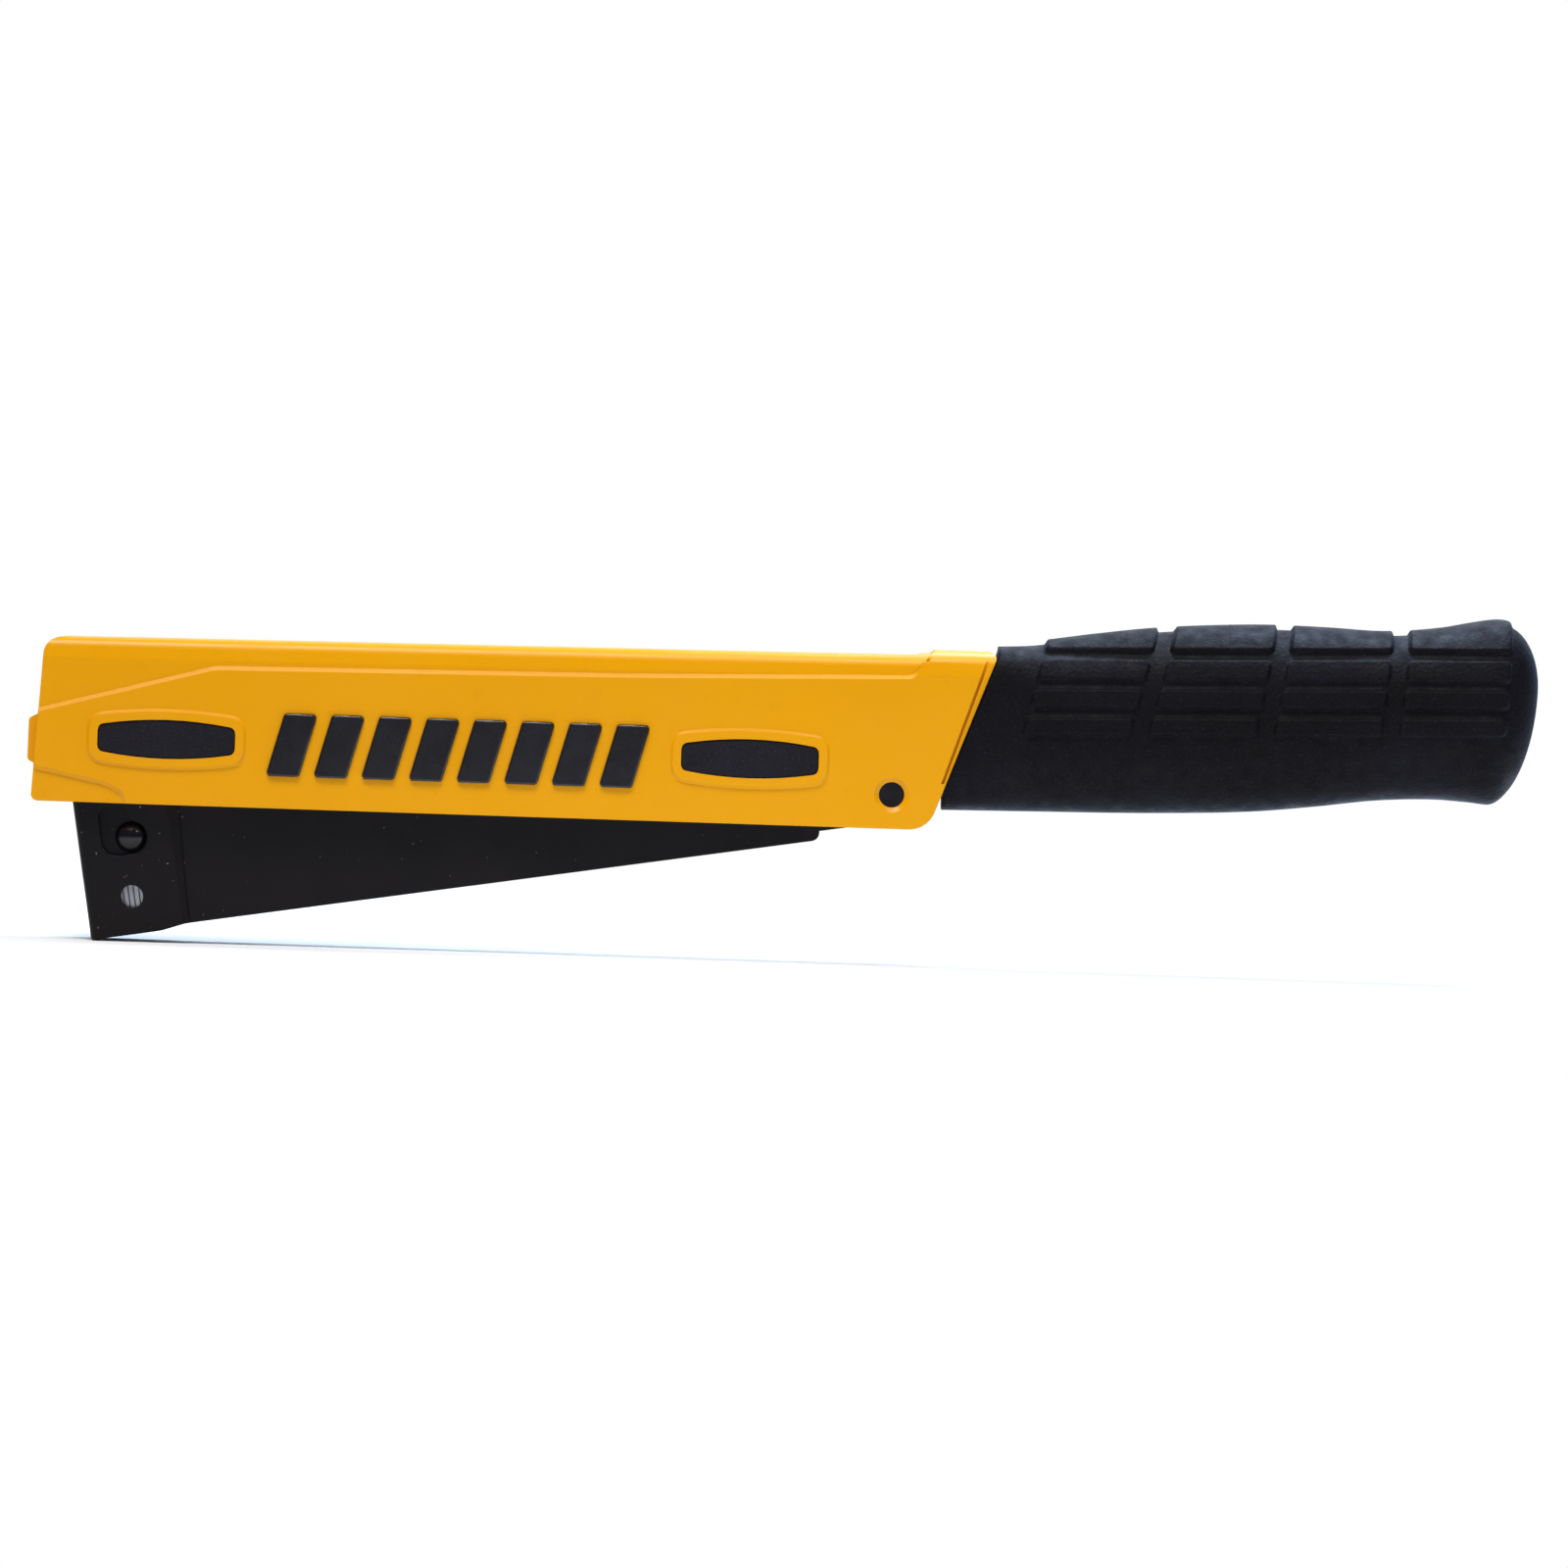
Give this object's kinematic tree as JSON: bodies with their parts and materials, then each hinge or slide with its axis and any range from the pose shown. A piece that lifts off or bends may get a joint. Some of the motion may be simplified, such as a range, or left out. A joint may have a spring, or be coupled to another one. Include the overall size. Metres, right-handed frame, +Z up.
{
  "type": "hammer tacker",
  "caption": "Swing-type stapling hammer with a yellow channel head, a hinged black staple magazine that springs out below it, and a ribbed black rubber grip.",
  "frame": {"origin": "middle of the nose plate's sole, just in front of the staple slot, with the tool at rest", "axes": "+X from the nose to the handle's butt along the head's bottom rim, +Y across the tool, +Z up from the sole to the head's top"},
  "size_m": [0.3557, 0.0342, 0.0859],
  "materials": {
    "head_paint": "yellow-orange enamel on a die-cast head, semi-gloss",
    "grip_rubber": "black moulded rubber with a fine grain",
    "pad_rubber": "dark textured rubber inlay",
    "badge_plastic": "raised black bars",
    "magazine_black": "black oxide and satin lacquer on folded steel",
    "pin_dark": "blackened steel pin and rivet",
    "steel_bright": "zinc-plated or ground steel",
    "steel_dark": "hardened tool steel with oil film",
    "staple_wire": "galvanized staple wire",
    "spring_wire": "spring steel wire",
    "bush_brass": "sintered bronze bush",
    "bumper_rubber": "black buffer rubber",
    "core_black": "plain black handle tube",
    "plug_plastic": "black moulded end plug"
  },
  "bodies": {
    "head": {"head_housing": "head_paint", "handle_core": "core_black", "butt_plug": "plug_plastic", "grip_sleeve": "grip_rubber", "handle_screws": "steel_bright", "pad_front_left": "pad_rubber", "pad_rear_left": "pad_rubber", "pad_front_right": "pad_rubber", "pad_rear_right": "pad_rubber", "badge_left": "badge_plastic", "badge_right": "badge_plastic", "pivot_pin": "pin_dark", "driver_holder": "steel_dark", "driver_blade": "steel_dark", "blade_rivets": "steel_bright", "holder_screws": "steel_bright", "strike_bumper": "bumper_rubber", "return_spring": "spring_wire"},
    "magazine": {"magazine_frame": "magazine_black", "crown_guide": "steel_dark", "nose_guard": "magazine_black", "nose_rivet": "pin_dark", "spring_cup": "steel_bright", "pivot_bush_left": "bush_brass", "pivot_bush_right": "bush_brass"},
    "rail": {"core_rail": "steel_bright", "rail_nose_block": "steel_dark", "rod_anchor": "steel_dark", "pusher_rod": "steel_bright", "pusher_spring": "spring_wire", "rail_clip": "spring_wire", "staple_strip": "staple_wire"},
    "pusher": {"pusher": "steel_bright"}
  },
  "joints": [
    {"name": "magazine_swing", "type": "hinge", "parent": "head", "child": "magazine", "pos_m": [0.18641, 0, 0.04039], "axis": [0, 1, 0], "range_deg": [0, 8], "stiffness_Nm_per_rad": 16, "springref_deg": -12.61, "deforming": ["return_spring"]},
    {"name": "rail_drop", "type": "hinge", "parent": "magazine", "child": "rail", "pos_m": [0.18641, 0, 0.04039], "axis": [0, 1, 0], "range_deg": [-28, 0]},
    {"name": "pusher_slide", "type": "slide", "parent": "rail", "child": "pusher", "axis": [0.9866, 0, 0.1633], "range_m": [0, 0.055], "stiffness_N_per_m": 50, "springref_m": -0.07, "deforming": ["pusher_spring"]}
  ]
}
